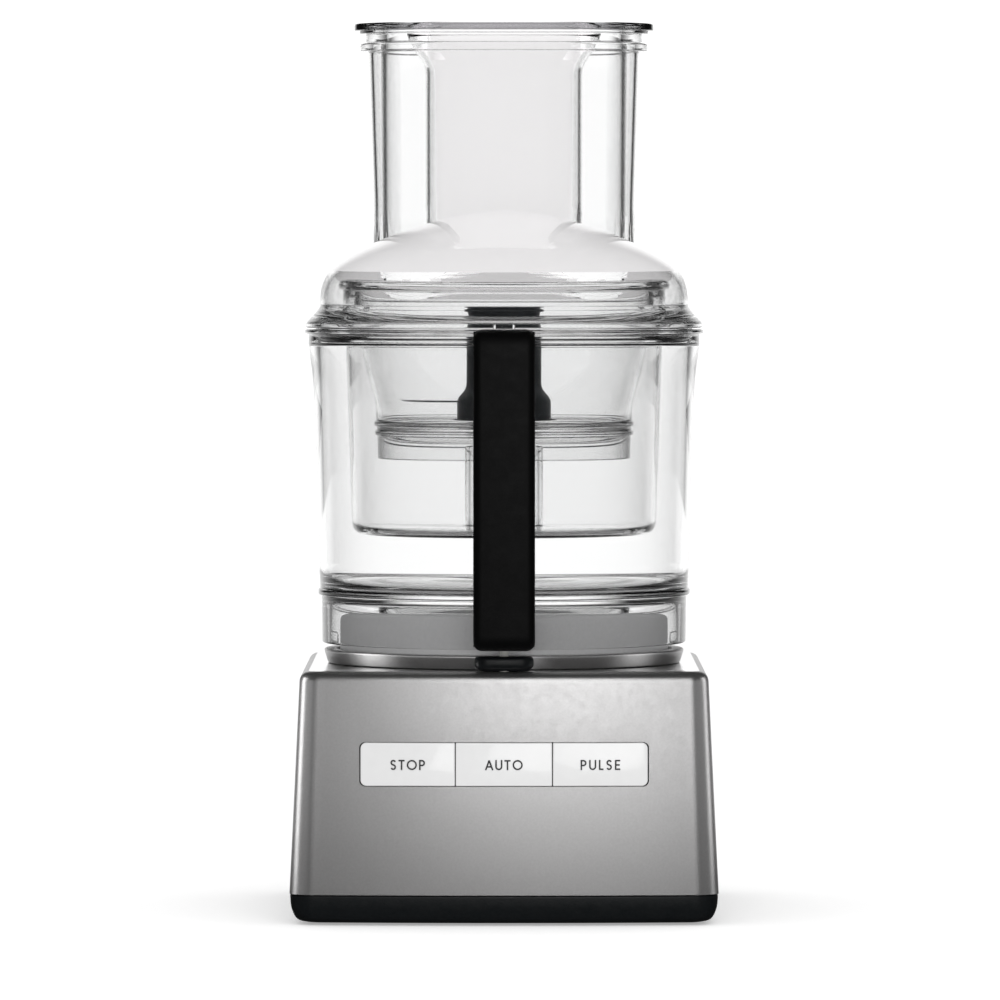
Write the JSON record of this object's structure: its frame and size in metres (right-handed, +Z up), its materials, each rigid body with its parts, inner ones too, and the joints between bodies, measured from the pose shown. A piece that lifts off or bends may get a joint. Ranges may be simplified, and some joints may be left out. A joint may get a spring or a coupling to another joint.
{
  "type": "food processor",
  "caption": "Food processor with a satin metallic base, clear nested bowls, a black handle, a domed lid and a wide feed tube with two pushers.",
  "frame": {"origin": "on the floor below the motor's axis, in the middle of the outer box", "axes": "+Z up along the motor's shaft, +X to the right of someone facing the keys, +Y to the rear"},
  "size_m": [0.21, 0.264, 0.444],
  "materials": {
    "satin_metallic": "satin metallic grey with a fine grain",
    "black_plastic": "satin black moulded plastic",
    "foot_rubber": "matt black rubber",
    "key_plastic": "glossy white with thin dark captions",
    "clear_plastic": "clear polished copolyester",
    "frosted_plastic": "clear plastic with a frosted wall",
    "slate_plastic": "dark slate moulded plastic",
    "blade_steel": "ground stainless steel",
    "machine_steel": "turned and plated steel",
    "cast_aluminium": "die cast",
    "winding_copper": "enamelled copper wire",
    "circuit_board": "green solder mask",
    "inner_plastic": "plain moulded plastic"
  },
  "bodies": {
    "base": {"base_housing": "satin_metallic", "bottom_tray": "black_plastic", "foot_1": "foot_rubber", "foot_2": "foot_rubber", "foot_3": "foot_rubber", "foot_4": "foot_rubber", "tray_screw_1": "machine_steel", "tray_screw_2": "machine_steel", "tray_screw_3": "machine_steel", "tray_screw_4": "machine_steel", "seat_collar": "satin_metallic", "drive_drum": "satin_metallic", "interlock_block": "black_plastic", "safety_switch": "inner_plastic", "mains_gland": "black_plastic", "key_carrier": "inner_plastic", "key_board": "circuit_board", "motor_stator": "machine_steel", "winding_upper": "winding_copper", "winding_lower": "winding_copper", "motor_shield_upper": "cast_aluminium", "motor_shield_lower": "cast_aluminium", "bearing_upper": "machine_steel", "bearing_lower": "machine_steel", "run_capacitor": "inner_plastic", "control_board": "circuit_board"},
    "rotor": {"motor_shaft": "machine_steel", "rotor_core": "cast_aluminium", "cooling_fan": "black_plastic"},
    "stop_key": {"button_stop": "key_plastic"},
    "auto_key": {"button_auto": "key_plastic"},
    "pulse_key": {"button_pulse": "key_plastic"},
    "plunger": {"switch_plunger": "inner_plastic"},
    "bowl": {"main_bowl": "clear_plastic", "handle_grip": "black_plastic", "handle_cover": "black_plastic"},
    "rod": {"safety_rod": "machine_steel"},
    "midi": {"midi_bowl": "clear_plastic"},
    "mini": {"mini_bowl": "clear_plastic"},
    "blade": {"blade_hub": "slate_plastic", "blade_upper": "blade_steel", "blade_lower": "blade_steel"},
    "ring": {"splash_ring": "clear_plastic"},
    "lid": {"lid_shell": "clear_plastic", "feed_tube": "clear_plastic"},
    "pusher": {"large_pusher": "clear_plastic"},
    "inner_pusher": {"small_pusher": "frosted_plastic"}
  },
  "joints": [
    {"name": "rotor_spin", "type": "hinge", "parent": "base", "child": "rotor", "pos_m": [0, 0, 0.07], "axis": [0, 0, 1], "continuous": true},
    {"name": "stop_press", "type": "slide", "parent": "base", "child": "stop_key", "axis": [0, 1, 0], "range_m": [0, 0.0018], "stiffness_N_per_m": 400},
    {"name": "auto_press", "type": "slide", "parent": "base", "child": "auto_key", "axis": [0, 1, 0], "range_m": [0, 0.0018], "stiffness_N_per_m": 400},
    {"name": "pulse_press", "type": "slide", "parent": "base", "child": "pulse_key", "axis": [0, 1, 0], "range_m": [0, 0.0018], "stiffness_N_per_m": 400},
    {"name": "plunger_slide", "type": "slide", "parent": "base", "child": "plunger", "axis": [0, 0, 1], "range_m": [0, 0.003]},
    {"name": "bowl_lift", "type": "slide", "parent": "base", "child": "bowl", "axis": [0, 0, 1], "range_m": [0, 0.16]},
    {"name": "rod_slide", "type": "slide", "parent": "bowl", "child": "rod", "axis": [0, 0, 1], "range_m": [0, 0.003]},
    {"name": "midi_lift", "type": "slide", "parent": "bowl", "child": "midi", "axis": [0, 0, 1], "range_m": [0, 0.11]},
    {"name": "mini_lift", "type": "slide", "parent": "midi", "child": "mini", "axis": [0, 0, 1], "range_m": [0, 0.075]},
    {"name": "blade_spin", "type": "hinge", "parent": "mini", "child": "blade", "pos_m": [0, 0, 0.25], "axis": [0, 0, 1], "continuous": true},
    {"name": "ring_lift", "type": "slide", "parent": "mini", "child": "ring", "axis": [0, 0, 1], "range_m": [0, 0.04]},
    {"name": "lid_turn", "type": "hinge", "parent": "ring", "child": "lid", "pos_m": [0, 0, 0.291], "axis": [0, 0, 1], "range_deg": [0, 30]},
    {"name": "pusher_lift", "type": "slide", "parent": "lid", "child": "pusher", "axis": [0, 0, 1], "range_m": [0, 0.1]},
    {"name": "inner_pusher_lift", "type": "slide", "parent": "pusher", "child": "inner_pusher", "axis": [0, 0, 1], "range_m": [0, 0.09]}
  ],
  "couplings": [
    {"joint": "blade_spin", "follows": "rotor_spin", "ratio": 1},
    {"joint": "rod_slide", "follows": "lid_turn", "m_per_rad": 0.005728},
    {"joint": "plunger_slide", "follows": "lid_turn", "m_per_rad": 0.005728}
  ]
}
